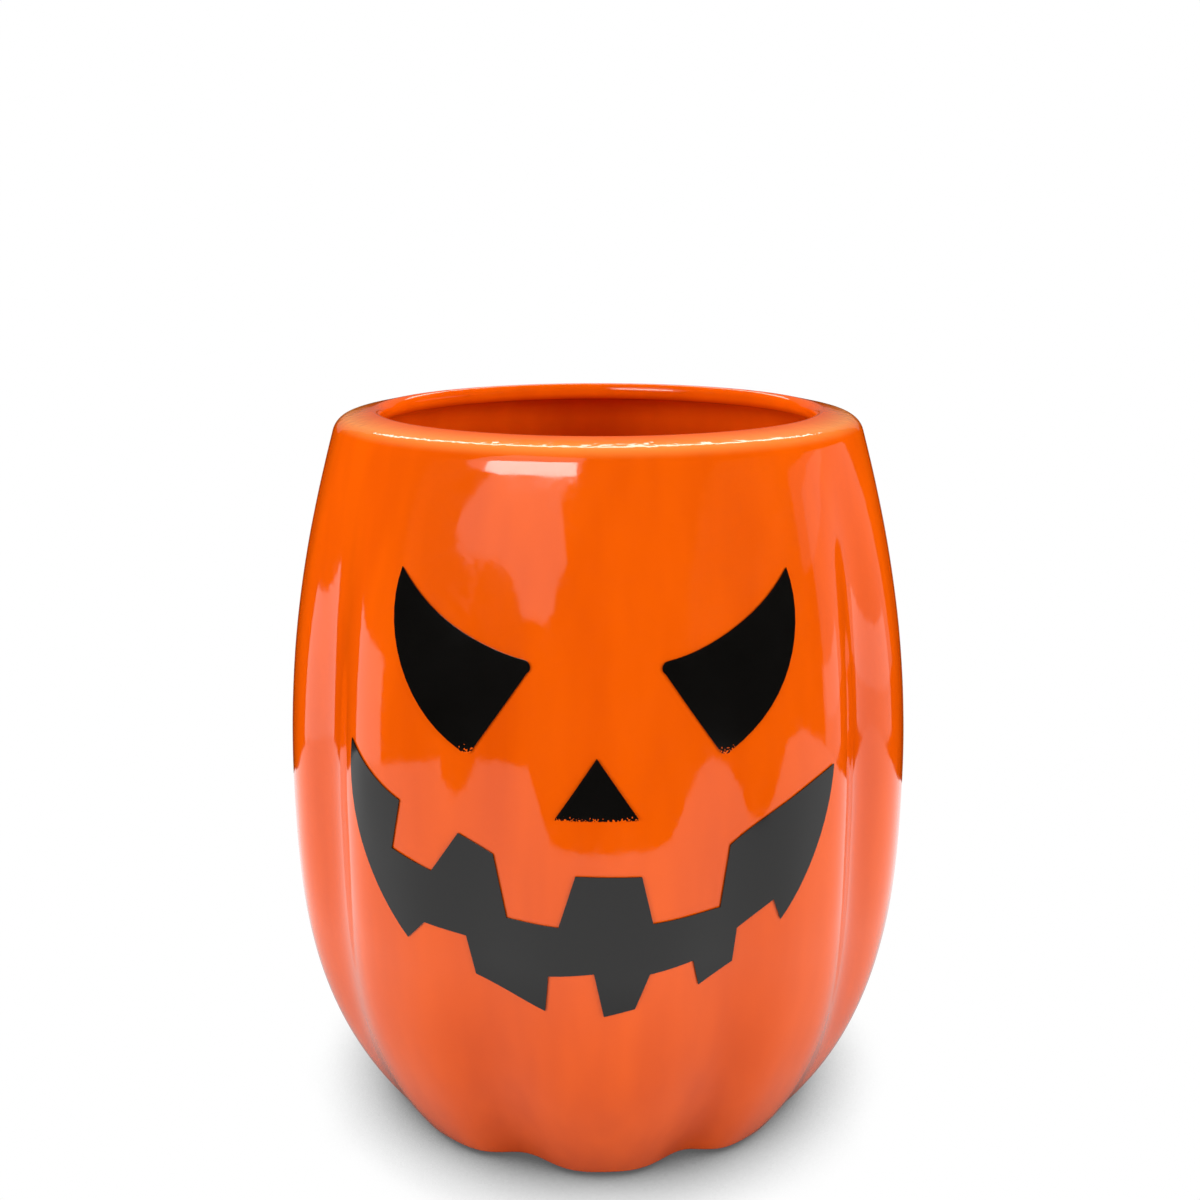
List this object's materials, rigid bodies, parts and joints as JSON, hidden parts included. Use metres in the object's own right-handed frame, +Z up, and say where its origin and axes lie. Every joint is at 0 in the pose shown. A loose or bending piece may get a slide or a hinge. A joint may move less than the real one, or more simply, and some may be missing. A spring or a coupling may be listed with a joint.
{
  "type": "utensil crock",
  "caption": "Lobed, pumpkin-shaped stoneware crock with an in-turned rim, glazed inside and out and printed with a lantern face; stands on a foot ring and holds kitchen tools upright.",
  "frame": {"origin": "on the table, under the middle of the foot ring", "axes": "+Z up along the crock's axis, -Y towards the printed face, +X to the viewer's right of it"},
  "size_m": [0.1727, 0.1764, 0.2],
  "materials": {
    "bare_stoneware": "matt, unglazed",
    "orange_glaze": "gloss",
    "liner_glaze": "gloss",
    "black_print": "gloss"
  },
  "bodies": {
    "root": {"stoneware_body": "bare_stoneware", "outer_glaze": "orange_glaze", "liner_glaze": "liner_glaze", "left_eye_print": "black_print", "right_eye_print": "black_print", "nose_print": "black_print", "grin_print": "black_print"}
  },
  "joints": []
}
